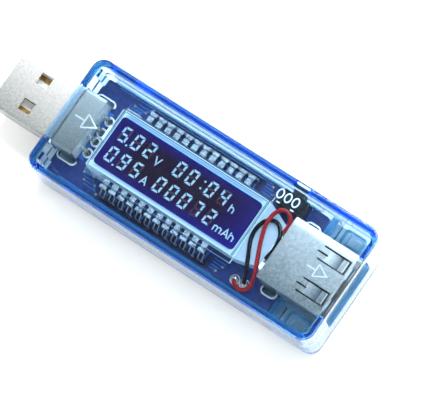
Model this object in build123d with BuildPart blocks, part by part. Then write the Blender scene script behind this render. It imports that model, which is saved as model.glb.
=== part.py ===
from build123d import *
import os
from math import pi, radians, tan

# USB power meter, in millimetres.
# +X runs from the plug to the socket, +Y towards the reset button, +Z out of the display.
# The origin is the middle of the underside of the whole object.

# ------------------------------------------------------------------ driving dimensions
case_length = 63.0
case_width = 24.3
case_height = 12.0
corner_radius = 2.5
wall = 1.35
roof = 1.2
floor = 1.2
split_height = 6.0
parting_gap = 0.06
lip_height = 0.9
lip_thickness = 0.6
lip_gap = 0.06
base_fillet = 1.5
roof_fillet = 0.45
opening_corner = 0.6
slot_clearance = 0.2
plug_reach = 13.0

board_top = 4.9
board_thickness = 1.2
board_width = 20.6
pad_thickness = 0.06

plug_width = 12.0
plug_height = 4.5
plug_length = 18.75
socket_width = 13.1
socket_height = 5.7
socket_length = 13.6
mouth_width = 12.9
mouth_height = 5.2
sheet_metal = 0.3
shell_corner = 0.6
shell_inner_corner = 0.35
tab_height = 3.0
moulding_corner = 0.3
usb_contact_rows = (-3.5, -1.0, 1.0, 3.5)
usb_contact_width = 1.0
usb_contact_sheet = 0.25
usb_contact_slot = 1.04
usb_tail_drop = 0.7

lcd_middle_y = 0.3
lcd_pin_count = 12
lcd_pin_pitch = 2.0
lcd_leg_y = 9.0

button_z = 6.6
button_width = 2.8
button_height = 1.5
button_clearance = 0.3
button_window_corner = 0.5
flange_width = 3.8
flange_height = 2.2
wire_diameter = 0.8

# ------------------------------------------------------------------ derived positions
x_in = -(case_length - plug_reach) / 2
x_out = x_in + case_length
case_middle = (x_in + x_out) / 2
inner_y = case_width / 2 - wall
roof_underside = case_height - roof
board_bottom = board_top - board_thickness
board_middle = board_top - board_thickness / 2
tail_z = board_bottom - usb_tail_drop
plug_z = board_top + plug_height / 2
socket_z = board_top + socket_height / 2
socket_front = x_out - wall - 0.05
socket_rear = socket_front - socket_length
plug_tip = x_in - plug_reach
plug_rear = plug_tip + plug_length


def along(distance):
    """X of a point at this distance from the outer face of the plug-end wall."""
    return x_in + distance


board_start = along(1.7)
board_end = along(51.9)
glass_start = along(9.7)
glass_end = along(42.2)
glass_middle = (glass_start + glass_end) / 2
lcd_pin_first = along(14.6)
lcd_pin_xs = [lcd_pin_first + i * lcd_pin_pitch for i in range(lcd_pin_count)]
plug_pin_x = along(6.9)
plug_tab_x = along(4.05)
plug_tab_y = plug_width / 2 - sheet_metal / 2
socket_pin_x = along(50.2)
socket_tab_x = along(50.1)
socket_tab_y = socket_width / 2 - sheet_metal / 2
slot_ring = 0.3
switch_x = along(45.2)
switch_leg_spots = [(switch_x + dx, y) for dx in (-2.0, 2.0) for y in (7.5, 8.8)]
red_pad = (along(43.6), -8.4)
black_pad = (along(45.5), -8.2)

# Slots in the board for the connectors' tabs: middle x, middle y, length, width.
tab_slots = (
    (plug_tab_x, 6.15, 3.8, 1.5),
    (socket_tab_x, 6.9, 2.8, 1.45),
)

# Radii of the board's holes and of the tinned rings around them.
usb_hole = 0.65
usb_ring = 1.0
lcd_hole = 0.4
lcd_ring = 0.6
switch_hole = 0.42
wire_hole = 0.45
wire_ring = 0.95

# Heights of the display stack, from the board up.
foam_top = 5.4
reflector_top = 5.5
guide_top = 8.6
rear_film_top = 8.8
lower_glass_top = 9.45
cell_seal_top = 9.55
upper_glass_top = 10.2
front_film_top = 10.4


def save(part, name):
    """Label a finished piece and write it as one STEP file."""
    part.label = name
    export_step(part, f"parts/{name}.step")


def case_outline(inset, mode=Mode.ADD):
    """The plan outline of the case, moved in from its outer face by inset."""
    with Locations((case_middle, 0)):
        RectangleRounded(
            case_length - 2 * inset, case_width - 2 * inset, corner_radius - inset, mode=mode
        )


def ribbon(points, thickness):
    """A bent strip of constant thickness, drawn in the active sketch."""
    with BuildLine() as strip:
        Polyline(*points)
    trace(strip.line, line_width=thickness)


def cut_case_openings():
    """Plug slot, socket mouth and button window, cut from the cover being made."""
    overshoot = 1.0
    depth = wall + 2 * overshoot
    with BuildSketch(Plane.YZ.offset(x_in - overshoot)) as plug_slot:
        with Locations((0, plug_z)):
            RectangleRounded(
                plug_width + 2 * slot_clearance, plug_height + 2 * slot_clearance, opening_corner
            )
    extrude(plug_slot.sketch, amount=depth, mode=Mode.SUBTRACT)
    with BuildSketch(Plane.YZ.offset(socket_front)) as socket_mouth:
        with Locations((0, socket_z)):
            RectangleRounded(mouth_width, mouth_height, opening_corner)
    extrude(socket_mouth.sketch, amount=depth, mode=Mode.SUBTRACT)
    with BuildSketch(Plane.XZ.offset(-inner_y + overshoot)) as button_window:
        with Locations((switch_x, button_z)):
            RectangleRounded(
                button_width + 2 * button_clearance,
                button_height + 2 * button_clearance,
                button_window_corner,
            )
    extrude(button_window.sketch, amount=-depth, mode=Mode.SUBTRACT)


os.makedirs("parts", exist_ok=True)

# ------------------------------------------------------------------ bottom cover
shelf_x = along(26.0)
shelf_length = 46.0
shelf_depth = 1.0
stop_x = along(53.0)
stop_y = 8.95
stop_length = 1.4
stop_width = 3.7
stop_top = 5.8
boss_x = along(57.6)
boss_y = 8.9
boss_length = 4.6
boss_width = 3.2
boss_wall = 0.6
boss_corner = 0.8
boss_inner_corner = 0.3
boss_top = 4.8
cradle_rib_xs = (along(54.6), along(59.4))
cradle_rib_thickness = 1.0
cradle_rib_width = 12.0
rib_clearance = 0.1

with BuildPart() as bottom_cover:
    with BuildSketch(Plane.XY):
        case_outline(0)
    extrude(amount=split_height)
    fillet(bottom_cover.edges().group_by(Axis.Z)[0], base_fillet)
    with BuildSketch(Plane.XY.offset(floor)):
        case_outline(wall)
    extrude(amount=split_height - floor, mode=Mode.SUBTRACT)
    # Inner lip that enters the top cover.
    with BuildSketch(Plane.XY.offset(split_height)):
        case_outline(wall - lip_thickness)
        case_outline(wall, mode=Mode.SUBTRACT)
    extrude(amount=lip_height)
    # Shelves that carry the long edges of the board.
    with BuildSketch(Plane.XY.offset(floor)):
        for side in (-1, 1):
            with Locations((shelf_x, side * (inner_y - shelf_depth / 2))):
                Rectangle(shelf_length, shelf_depth)
    extrude(amount=board_bottom - floor)
    # End stops behind the board.
    with BuildSketch(Plane.XY.offset(floor)):
        for side in (-1, 1):
            with Locations((stop_x, side * stop_y)):
                Rectangle(stop_length, stop_width)
    extrude(amount=stop_top - floor)
    # Open square bosses beside the socket.
    with BuildSketch(Plane.XY.offset(floor)):
        for side in (-1, 1):
            with Locations((boss_x, side * boss_y)):
                RectangleRounded(boss_length, boss_width, boss_corner)
                RectangleRounded(
                    boss_length - 2 * boss_wall,
                    boss_width - 2 * boss_wall,
                    boss_inner_corner,
                    mode=Mode.SUBTRACT,
                )
    extrude(amount=boss_top - floor)
    # Cradle ribs under the overhanging socket.
    with BuildSketch(Plane.XY.offset(floor)):
        for x in cradle_rib_xs:
            with Locations((x, 0)):
                Rectangle(cradle_rib_thickness, cradle_rib_width)
    extrude(amount=board_top - floor - rib_clearance)
    cut_case_openings()
save(bottom_cover.part, "bottom_cover")

# ------------------------------------------------------------------ top cover
press_rib_x = along(1.8)
press_rib_y = 9.3
press_rib_length = 0.7
press_rib_width = 1.6

with BuildPart() as top_cover:
    with BuildSketch(Plane.XY.offset(split_height + parting_gap)):
        case_outline(0)
    extrude(amount=case_height - split_height - parting_gap)
    fillet(top_cover.edges().group_by(Axis.Z)[-1], roof_fillet)
    with BuildSketch(Plane.XY.offset(split_height)):
        case_outline(wall)
    extrude(amount=roof_underside - split_height, mode=Mode.SUBTRACT)
    # Recess that takes the lip of the bottom cover.
    with BuildSketch(Plane.XY.offset(split_height)):
        case_outline(wall - lip_thickness - lip_gap)
    extrude(amount=lip_height + lip_gap, mode=Mode.SUBTRACT)
    # Ribs that press the board edge down at the plug end.
    with BuildSketch(Plane.XY.offset(roof_underside)):
        for side in (-1, 1):
            with Locations((press_rib_x, side * press_rib_y)):
                Rectangle(press_rib_length, press_rib_width)
    extrude(amount=-(roof_underside - board_top - rib_clearance))
    cut_case_openings()
save(top_cover.part, "top_cover")

# ------------------------------------------------------------------ circuit board
with BuildPart() as circuit_board:
    with BuildSketch(Plane.XY.offset(board_bottom)):
        with Locations(((board_start + board_end) / 2, 0)):
            RectangleRounded(board_end - board_start, board_width, 0.8)
        for slot_x, slot_y, length, width in tab_slots:
            with Locations(*[(slot_x, side * slot_y) for side in (-1, 1)]):
                SlotOverall(length, width, mode=Mode.SUBTRACT)
        for pin_x in (plug_pin_x, socket_pin_x):
            with Locations(*[(pin_x, y) for y in usb_contact_rows]):
                Circle(usb_hole, mode=Mode.SUBTRACT)
        for side in (-1, 1):
            with Locations(*[(x, side * lcd_leg_y) for x in lcd_pin_xs]):
                Circle(lcd_hole, mode=Mode.SUBTRACT)
        with Locations(*switch_leg_spots):
            Circle(switch_hole, mode=Mode.SUBTRACT)
        with Locations(red_pad, black_pad):
            Circle(wire_hole, mode=Mode.SUBTRACT)
    extrude(amount=board_thickness)
save(circuit_board.part, "circuit_board")

# Tinned rings around the slots and holes on the upper face.
with BuildPart() as board_pads:
    with BuildSketch(Plane.XY.offset(board_top)):
        for slot_x, slot_y, length, width in tab_slots:
            with Locations(*[(slot_x, side * slot_y) for side in (-1, 1)]):
                SlotOverall(length + 2 * slot_ring, width + 2 * slot_ring)
                SlotOverall(length, width, mode=Mode.SUBTRACT)
        # The connector shells sit flat on the board, so the rings show only beside them.
        for tab_x, shell_width in ((plug_tab_x, plug_width), (socket_tab_x, socket_width)):
            with Locations((tab_x, 0)):
                Rectangle(6.0, shell_width + 0.02, mode=Mode.SUBTRACT)
        with Locations(*[(plug_pin_x, y) for y in usb_contact_rows]):
            Circle(usb_ring)
            Circle(usb_hole, mode=Mode.SUBTRACT)
        for side in (-1, 1):
            with Locations(*[(x, side * lcd_leg_y) for x in lcd_pin_xs]):
                Circle(lcd_ring)
                Circle(lcd_hole, mode=Mode.SUBTRACT)
        with Locations(red_pad, black_pad):
            Circle(wire_ring)
            Circle(wire_hole, mode=Mode.SUBTRACT)
    extrude(amount=pad_thickness)
save(board_pads.part, "board_pads")

# ------------------------------------------------------------------ USB plug
plug_inner_bottom = board_top + sheet_metal
plug_tongue_top = plug_inner_bottom + 1.95
plug_window_x = plug_tip + 6.4
plug_window_y = 2.85
plug_window_length = 2.5
plug_window_width = 2.4
plug_tab_length = 2.6
plug_tongue_start = plug_tip + 0.4
plug_tongue_width = 11.2
plug_tongue_height = 1.9
plug_block_length = 6.4
plug_block_width = 11.3
plug_block_height = 3.8
channel_depth = 0.3
channel_middle = 0.2

with BuildPart() as usb_plug_shell:
    with BuildSketch(Plane.YZ.offset(plug_tip)):
        with Locations((0, plug_z)):
            RectangleRounded(plug_width, plug_height, shell_corner)
            RectangleRounded(
                plug_width - 2 * sheet_metal,
                plug_height - 2 * sheet_metal,
                shell_inner_corner,
                mode=Mode.SUBTRACT,
            )
    extrude(amount=plug_length)
    # Latch windows through the top and bottom sheets.
    with Locations(*[(plug_window_x, side * plug_window_y, plug_z) for side in (-1, 1)]):
        Box(plug_window_length, plug_window_width, 2 * plug_height, mode=Mode.SUBTRACT)
    # Tabs that pass through the board.
    with Locations(*[(plug_tab_x, side * plug_tab_y, board_middle) for side in (-1, 1)]):
        Box(plug_tab_length, sheet_metal, tab_height)
save(usb_plug_shell.part, "usb_plug_shell")

with BuildPart() as usb_plug_insulator:
    with BuildSketch(Plane.YZ.offset(plug_tongue_start)):
        with Locations((0, plug_inner_bottom + plug_tongue_height / 2)):
            RectangleRounded(plug_tongue_width, plug_tongue_height, moulding_corner)
    extrude(amount=plug_rear - plug_tongue_start)
    with BuildSketch(Plane.YZ.offset(plug_rear - plug_block_length)):
        with Locations((0, plug_z)):
            RectangleRounded(plug_block_width, plug_block_height, moulding_corner)
    extrude(amount=plug_block_length)
    # Channels that hold the four contacts.
    with Locations(*[(plug_rear - 9.0, y, plug_tongue_top - channel_middle) for y in usb_contact_rows]):
        Box(18.4, usb_contact_slot, channel_depth, mode=Mode.SUBTRACT)
save(usb_plug_insulator.part, "usb_plug_insulator")

with BuildPart() as usb_plug_contacts:
    for y in usb_contact_rows:
        # The two outer contacts reach further forward, so that power joins first.
        front = plug_tip + (1.6 if abs(y) > 2 else 2.6)
        contact_z = plug_tongue_top - channel_middle
        with BuildSketch(Plane.XZ.offset(-y - usb_contact_width / 2)):
            ribbon([(front, contact_z), (plug_pin_x, contact_z), (plug_pin_x, tail_z)], usb_contact_sheet)
        extrude(amount=usb_contact_width)
save(usb_plug_contacts.part, "usb_plug_contacts")

# ------------------------------------------------------------------ USB socket
socket_top = board_top + socket_height
finger_root = along(55.3)
finger_tip = along(60.6)
finger_width = 2.3
finger_y = 3.4
finger_sheet = 0.25
finger_flat = 1.4
finger_bend = 1.0
finger_overlap = 0.3
finger_gap = 0.3
window_length = 5.9
side_finger_z = socket_z - 0.4
side_finger_width = 1.6
socket_tab_length = 2.2

with BuildPart() as usb_socket_shell:
    with BuildSketch(Plane.YZ.offset(socket_rear)):
        with Locations((0, socket_z)):
            RectangleRounded(socket_width, socket_height, shell_corner)
            RectangleRounded(
                socket_width - 2 * sheet_metal,
                socket_height - 2 * sheet_metal,
                shell_inner_corner,
                mode=Mode.SUBTRACT,
            )
    extrude(amount=socket_length)
    # Back plate.
    with BuildSketch(Plane.YZ.offset(socket_rear)):
        with Locations((0, socket_z)):
            RectangleRounded(socket_width - sheet_metal, socket_height - sheet_metal, 0.4)
    extrude(amount=sheet_metal)
    # Gap in the underside for the contacts.
    with Locations((socket_pin_x, 0, board_top)):
        Box(1.6, 9.0, 1.0, mode=Mode.SUBTRACT)
    # Windows around the spring fingers, in the top, the bottom and the sides.
    window_x = finger_root + window_length / 2
    with Locations(*[(window_x, side * finger_y, socket_z) for side in (-1, 1)]):
        Box(window_length, finger_width + 2 * finger_gap, 2 * socket_height, mode=Mode.SUBTRACT)
    with Locations((window_x, 0, side_finger_z)):
        Box(window_length, 2 * socket_width, side_finger_width + 2 * finger_gap, mode=Mode.SUBTRACT)
    # Spring fingers: rooted at the rear of each window, dipping inwards, tip turned up.
    for side in (-1, 1):
        for face, sign in ((socket_top, -1), (board_top, 1)):
            middle = face + sign * sheet_metal / 2
            with BuildSketch(Plane.XZ.offset(-side * finger_y - finger_width / 2)):
                ribbon(
                    [
                        (finger_root - finger_overlap, middle),
                        (finger_root + finger_flat, middle),
                        (finger_tip - finger_bend, middle + sign * 0.55),
                        (finger_tip, middle + sign * 0.15),
                    ],
                    finger_sheet,
                )
            extrude(amount=finger_width)
        wall_y = side * (socket_width / 2 - sheet_metal / 2)
        with BuildSketch(Plane.XY.offset(side_finger_z - side_finger_width / 2)):
            ribbon(
                [
                    (finger_root - finger_overlap, wall_y),
                    (finger_root + finger_flat, wall_y),
                    (finger_tip - finger_bend, wall_y - side * 0.45),
                    (finger_tip, wall_y - side * 0.1),
                ],
                finger_sheet,
            )
        extrude(amount=side_finger_width)
    # Short slit pressed through the root of each top finger.
    with Locations(*[(finger_root + 0.4, side * finger_y, socket_top) for side in (-1, 1)]):
        Box(2.2, 0.3, 1.2, mode=Mode.SUBTRACT)
    # Tabs that pass through the board.
    with Locations(*[(socket_tab_x, side * socket_tab_y, board_middle) for side in (-1, 1)]):
        Box(socket_tab_length, sheet_metal, tab_height)
save(usb_socket_shell.part, "usb_socket_shell")

tongue_bottom = socket_z + 0.1
tongue_height = 1.84
tongue_width = 11.1
tongue_length = 12.4
block_start = socket_rear + sheet_metal + 0.05
block_length = 4.2
socket_contact_z = tongue_bottom + 0.1

with BuildPart() as usb_socket_insulator:
    with BuildSketch(Plane.YZ.offset(block_start)):
        with Locations((0, socket_z)):
            RectangleRounded(socket_width - 0.8, socket_height - 0.8, moulding_corner)
    extrude(amount=block_length)
    with BuildSketch(Plane.YZ.offset(block_start)):
        with Locations((0, tongue_bottom + tongue_height / 2)):
            RectangleRounded(tongue_width, tongue_height, moulding_corner)
    extrude(amount=tongue_length)
    # Channels for the contacts under the tongue, and the wells where they turn down.
    with Locations(*[(block_start + 6.6, y, socket_contact_z) for y in usb_contact_rows]):
        Box(10.6, usb_contact_slot, channel_depth, mode=Mode.SUBTRACT)
    with Locations(*[(socket_pin_x, y, tongue_bottom - 1.3) for y in usb_contact_rows]):
        Box(0.5, usb_contact_slot, 3.1, mode=Mode.SUBTRACT)
save(usb_socket_insulator.part, "usb_socket_insulator")

with BuildPart() as usb_socket_contacts:
    for y in usb_contact_rows:
        with BuildSketch(Plane.XZ.offset(-y - usb_contact_width / 2)):
            ribbon(
                [
                    (socket_pin_x, tail_z),
                    (socket_pin_x, socket_contact_z),
                    (along(59.6), socket_contact_z),
                ],
                usb_contact_sheet,
            )
        extrude(amount=usb_contact_width)
save(usb_socket_contacts.part, "usb_socket_contacts")

# ------------------------------------------------------------------ display


def lcd_sheet(x_start, x_end, half_width, bottom, top, corner=0.05, middle_y=lcd_middle_y):
    """One flat layer of the display, centred on the glass unless middle_y says otherwise."""
    with BuildPart() as layer:
        with BuildSketch(Plane.XY.offset(bottom)):
            with Locations(((x_start + x_end) / 2, middle_y)):
                RectangleRounded(x_end - x_start, 2 * half_width, corner)
        extrude(amount=top - bottom)
    return layer.part


glass_half_width = 6.15
ledge_half_width = 7.3
rear_film_inset = 0.4
rear_film_half_width = 5.9
lcd_window_start = along(10.35)
lcd_window_end = along(41.6)
lcd_window_half_width = 5.08
lcd_window_middle_y = 0.02
lcd_window_corner = 0.8
seal_inset = 0.1
seal_width = 0.8
end_seal_depth = 0.6
end_seal_width = 3.0

save(lcd_sheet(glass_start, glass_end, ledge_half_width, rear_film_top, lower_glass_top), "lcd_lower_glass")
save(lcd_sheet(glass_start, glass_end, glass_half_width, cell_seal_top, upper_glass_top), "lcd_upper_glass")
save(
    lcd_sheet(
        glass_start + rear_film_inset,
        glass_end - rear_film_inset,
        rear_film_half_width,
        guide_top,
        rear_film_top,
    ),
    "lcd_rear_film",
)
save(
    lcd_sheet(
        lcd_window_start,
        lcd_window_end,
        lcd_window_half_width,
        upper_glass_top,
        front_film_top,
        lcd_window_corner,
        lcd_window_middle_y,
    ),
    "lcd_front_film",
)

with BuildPart() as lcd_cell_seal:
    with BuildSketch(Plane.XY.offset(lower_glass_top)):
        with Locations((glass_middle, lcd_middle_y)):
            seal_x = glass_end - glass_start - 2 * seal_inset
            seal_y = 2 * (glass_half_width - seal_inset)
            Rectangle(seal_x, seal_y)
            Rectangle(seal_x - 2 * seal_width, seal_y - 2 * seal_width, mode=Mode.SUBTRACT)
    extrude(amount=cell_seal_top - lower_glass_top)
save(lcd_cell_seal.part, "lcd_cell_seal")

with BuildPart() as lcd_end_seal:
    with BuildSketch(Plane.XY.offset(lower_glass_top - 0.35)):
        with Locations((glass_start - end_seal_depth / 2, 0.9)):
            RectangleRounded(end_seal_depth, end_seal_width, 0.25)
    extrude(amount=0.9)
save(lcd_end_seal.part, "lcd_end_seal")

# Light guide: as wide as the display, with ears at the plug end and a tongue that
# narrows to the LED.
guide_start = along(8.9)
guide_half_width = 6.05
guide_ear_x = along(11.1)
guide_ear_length = 4.4
guide_ear_width = 13.3
guide_ear_corner = 1.2
led_start = along(46.9)
led_middle_y = -0.2
led_width = 9.0
led_depth = 0.8

with BuildPart() as backlight_guide:
    with BuildSketch(Plane.XY.offset(reflector_top)):
        with Locations(((guide_start + glass_end) / 2, lcd_middle_y)):
            Rectangle(glass_end - guide_start, 2 * guide_half_width)
        with Locations((guide_ear_x, lcd_middle_y)):
            RectangleRounded(guide_ear_length, guide_ear_width, guide_ear_corner)
        with BuildLine():
            Polyline(
                (glass_end - 1, lcd_middle_y + guide_half_width),
                (glass_end, lcd_middle_y + guide_half_width),
                (led_start, led_middle_y + led_width / 2),
                (led_start, led_middle_y - led_width / 2),
                (glass_end, lcd_middle_y - guide_half_width),
                (glass_end - 1, lcd_middle_y - guide_half_width),
                close=True,
            )
        make_face()
    extrude(amount=guide_top - reflector_top)
save(backlight_guide.part, "backlight_guide")

save(lcd_sheet(along(9.4), along(46.2), 4.6, foam_top, reflector_top), "backlight_reflector")
save(lcd_sheet(along(12.0), along(40.0), 4.4, board_top, foam_top), "backlight_foam_pad")

with BuildPart() as backlight_led:
    with BuildSketch(Plane.XY.offset(reflector_top)):
        with Locations((led_start + led_depth / 2, led_middle_y)):
            Rectangle(led_depth, led_width)
    extrude(amount=guide_top + 0.1 - reflector_top)
save(backlight_led.part, "backlight_led")

led_lead_ys = (-2.9, 2.9)
led_lead_length = 0.7
led_lead_width = 1.3
led_lead_sheet = 0.1

with BuildPart() as backlight_led_leads:
    with BuildSketch(Plane.XY.offset(guide_top + 0.1)):
        with Locations(*[(led_start + led_depth / 2, y) for y in led_lead_ys]):
            Rectangle(led_lead_length, led_lead_width)
    extrude(amount=led_lead_sheet)
save(backlight_led_leads.part, "backlight_led_leads")


# Each LCD pin is a spring clip on the glass ledge and a leg stepped out to the board. Its
# parts, from the display outwards: a flat jaw on the glass, a dip past the edge of the glass,
# a wide shoulder, a narrow arm that turns back under the glass, and the leg, which is two
# prongs and a bar round a window, then one narrow pin through the board. A reach is a
# distance out from the edge of the glass.
pin_sheet = 0.18
jaw_width = 1.15
dip_width = 1.05
shoulder_width = 1.4
arm_width = 0.45
leg_width = 1.1
prong_width = 0.2
pin_width = 0.5
jaw_reach = -0.95
jaw_rise = 0.12
dip_reach = 0.3
dip_drop = 0.3
shoulder_start_reach = 0.5
shoulder_end_reach = 1.0
arm_z = rear_film_top - 0.12
leg_bend_top = 7.9
leg_bend_bottom = 7.1
leg_bar_z = 5.6
leg_bar_height = 0.3


def lcd_pin_row(side):
    """Twelve clip pins; side is +1 for the button side and -1 for the far side."""
    edge = ledge_half_width
    leg_reach = lcd_leg_y - side * lcd_middle_y - edge
    prong_offset = (leg_width - prong_width) / 2
    prong_line = [
        (shoulder_end_reach, arm_z),
        (shoulder_end_reach, leg_bend_top),
        (leg_reach, leg_bend_bottom),
        (leg_reach, leg_bar_z),
    ]
    jaw_line = [
        (jaw_reach, lower_glass_top + 2 * jaw_rise),
        (jaw_reach + 0.15, lower_glass_top + jaw_rise),
        (0.07, lower_glass_top + jaw_rise),
    ]
    dip_line = [
        (0, lower_glass_top + jaw_rise),
        (0.06, lower_glass_top + jaw_rise),
        (dip_reach, lower_glass_top - dip_drop),
        (shoulder_start_reach + 0.02, lower_glass_top),
    ]
    shoulder_line = [
        (shoulder_start_reach, lower_glass_top),
        (shoulder_end_reach, lower_glass_top),
        (shoulder_end_reach, arm_z),
    ]
    strips = [
        (0, jaw_width, jaw_line),
        (0, dip_width, dip_line),
        (0, shoulder_width, shoulder_line),
        (0, arm_width, [(shoulder_end_reach, arm_z), (jaw_reach, arm_z)]),
        (-prong_offset, prong_width, prong_line),
        (prong_offset, prong_width, prong_line),
        (0, leg_width, [(leg_reach, leg_bar_z), (leg_reach, leg_bar_z - leg_bar_height)]),
        (0, pin_width, [(leg_reach, leg_bar_z - leg_bar_height / 2), (leg_reach, board_bottom - 0.6)]),
    ]
    with BuildPart() as row:
        for x in lcd_pin_xs:
            for offset, width, points in strips:
                with BuildSketch(Plane.YZ.offset(x + offset - width / 2)):
                    ribbon([(lcd_middle_y + side * (edge + reach), z) for reach, z in points], pin_sheet)
                extrude(amount=width)
    return row.part


save(lcd_pin_row(1), "lcd_pins_button_side")
save(lcd_pin_row(-1), "lcd_pins_far_side")

# ------------------------------------------------------------------ backlight wires
# Each wire runs from an LED lead, loops on the tongue and drops to its pad on the board.
red_route = [
    (along(47.3), 2.9, 9.2),
    (along(47.5), 4.6, 9.5),
    (along(46.7), 6.1, 9.85),
    (along(45.0), 6.4, 10.1),
    (along(44.0), 4.8, 10.25),
    (along(43.9), 2.2, 10.2),
    (along(44.9), -1.0, 9.6),
    (along(46.2), -3.8, 9.35),
    (along(47.2), -6.2, 9.0),
    (along(47.45), -8.5, 7.2),
    (along(45.9), -9.75, 6.3),
    (along(44.2), -9.3, 5.9),
    (along(43.6), -8.5, 5.6),
]
black_route = [
    (along(47.3), -2.9, 9.2),
    (along(47.6), -0.2, 9.2),
    (along(47.1), 2.4, 9.2),
    (along(45.3), 4.1, 9.2),
    (along(43.2), 3.2, 9.2),
    (along(42.5), 0.8, 9.2),
    (along(42.9), -1.4, 9.2),
    (along(44.2), -3.8, 9.25),
    (along(45.3), -6.1, 8.9),
    (along(45.6), -7.6, 6.9),
    (along(45.5), -8.1, 5.6),
]


def corner_radii(points):
    """The largest arc that each corner's two runs leave room for."""
    radii = []
    for before, corner, after in zip(points, points[1:], points[2:]):
        run_in = Vector(*corner) - Vector(*before)
        run_out = Vector(*after) - Vector(*corner)
        turn = radians(run_in.get_angle(run_out))
        radii.append(0.45 * min(run_in.length, run_out.length) / tan(turn / 2))
    return radii


def wire(points, name):
    """A round wire along straight runs joined by tangent arcs."""
    radii = corner_radii(points)
    with BuildPart() as tube:
        with BuildLine() as path:
            FilletPolyline(*points, radius=radii)
        with BuildSketch(Plane(origin=path.line @ 0, z_dir=path.line % 0)):
            Circle(wire_diameter / 2)
        sweep()
    length = path.wires()[0].length
    section = pi * wire_diameter**2 / 4
    print(name, "radii", [round(r, 2) for r in radii], "length", round(length, 2))
    print(name, "volume over section times length", round(tube.part.volume / (section * length), 4))
    return tube.part


save(wire(red_route, "red_wire"), "red_wire")
save(wire(black_route, "black_wire"), "black_wire")

# ------------------------------------------------------------------ reset switch
housing_back = 6.75
housing_front = 9.85
housing_top = board_top + 3.3
housing_length = 5.6
pocket_depth = 1.5
pocket_clearance = 0.12
frame_length = 5.2
frame_sheet = 0.2
frame_window_clearance = 0.12
dome_radius = 1.1
dome_height = 0.45
flange_back = 9.2
flange_depth = 0.55
button_length = 2.5

with BuildPart() as switch_housing:
    with BuildSketch(Plane.XY.offset(board_top)):
        with Locations((switch_x, (housing_back + housing_front) / 2)):
            Rectangle(housing_length, housing_front - housing_back)
    extrude(amount=housing_top - board_top)
    with Locations((switch_x, housing_front - pocket_depth / 2, button_z)):
        Box(
            flange_width + 2 * pocket_clearance,
            pocket_depth,
            flange_height + 2 * pocket_clearance,
            mode=Mode.SUBTRACT,
        )
    chamfer(switch_housing.edges().filter_by(Axis.X).group_by(Axis.Y)[0].sort_by(Axis.Z)[-1], 0.3)
save(switch_housing.part, "switch_housing")

with BuildPart() as switch_frame:
    with BuildSketch(Plane.XY.offset(housing_top)):
        with Locations((switch_x, (housing_back + 0.6 + housing_front + frame_sheet) / 2)):
            Rectangle(frame_length, housing_front + frame_sheet - housing_back - 0.6)
    extrude(amount=frame_sheet)
    with Locations((switch_x, housing_front + frame_sheet / 2, (board_top + housing_top + 0.5) / 2)):
        Box(frame_length, frame_sheet, housing_top - board_top - 0.1)
    with Locations((switch_x, housing_front, button_z)):
        Box(
            button_width + 2 * frame_window_clearance,
            1.0,
            button_height + 2 * frame_window_clearance,
            mode=Mode.SUBTRACT,
        )
save(switch_frame.part, "switch_frame")

with BuildPart() as switch_dome:
    with BuildSketch(Plane.XZ.offset(-(housing_front - pocket_depth))):
        with Locations((switch_x, button_z)):
            Circle(dome_radius)
    extrude(amount=-dome_height, taper=35)
save(switch_dome.part, "switch_dome")

with BuildPart() as reset_button:
    with Locations((switch_x, flange_back + flange_depth / 2, button_z)):
        Box(flange_width, flange_depth, flange_height)
    with BuildSketch(Plane.XZ.offset(-flange_back)):
        with Locations((switch_x, button_z)):
            RectangleRounded(button_width, button_height, 0.25)
    extrude(amount=-button_length)
    fillet(reset_button.faces().sort_by(Axis.Y)[-1].edges(), 0.2)
save(reset_button.part, "reset_button")

with BuildPart() as switch_legs:
    with Locations(*[(x, y, board_bottom + 0.15) for x, y in switch_leg_spots]):
        Box(0.5, 0.3, 2.1)
save(switch_legs.part, "switch_legs")

# ------------------------------------------------------------------ parts under the board
controller_x = along(27.0)
memory_x = along(38.0)


def chip_body(x, y, length, width, height):
    """A moulded package hanging under the board, clear of it by its leads."""
    with BuildPart() as package:
        with Locations((x, y, board_bottom - 0.1 - height / 2)):
            Box(length, width, height)
        chamfer(package.edges().group_by(Axis.Z)[0], 0.15)
    return package.part


def gull_leads(x, y, span, count, pitch):
    """Two rows of leads along X on the +Y and -Y sides of a package."""
    for side in (-1, 1):
        for i in range(count):
            lead_x = x + (i - (count - 1) / 2) * pitch
            with BuildSketch(Plane.YZ.offset(lead_x - 0.12)) as lead:
                ribbon(
                    [
                        (y + side * span / 2, board_bottom - 0.8),
                        (y + side * (span / 2 + 0.35), board_bottom - 0.8),
                        (y + side * (span / 2 + 0.5), board_bottom - 0.08),
                        (y + side * (span / 2 + 1.0), board_bottom - 0.08),
                    ],
                    0.15,
                )
            extrude(lead.sketch, amount=0.24)


save(chip_body(controller_x, 0, 7.0, 7.0, 1.4), "controller_chip")
with BuildPart() as controller_leads:
    gull_leads(controller_x, 0, 7.0, 11, 0.6)
save(controller_leads.part, "controller_leads")

save(chip_body(memory_x, 0, 4.9, 3.9, 1.4), "memory_chip")
with BuildPart() as memory_leads:
    gull_leads(memory_x, 0, 3.9, 4, 1.2)
save(memory_leads.part, "memory_leads")

save(chip_body(along(17.5), 3.0, 4.5, 2.5, 1.4), "voltage_regulator")

with BuildPart() as shunt_resistor:
    with Locations((along(13.0), -3.2, board_bottom - 0.35)):
        Box(6.3, 3.2, 0.6)
save(shunt_resistor.part, "shunt_resistor")

resistor_spots = [(along(18.6 + 2.6 * i), y) for i in range(2) for y in (-2.6, -5.6)]
resistor_spots += [(along(34.0 + 2.6 * i), 6.4) for i in range(3)]
with BuildPart() as small_resistors:
    with Locations(*[(x, y, board_bottom - 0.25) for x, y in resistor_spots]):
        Box(1.6, 0.8, 0.45)
save(small_resistors.part, "small_resistors")

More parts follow.
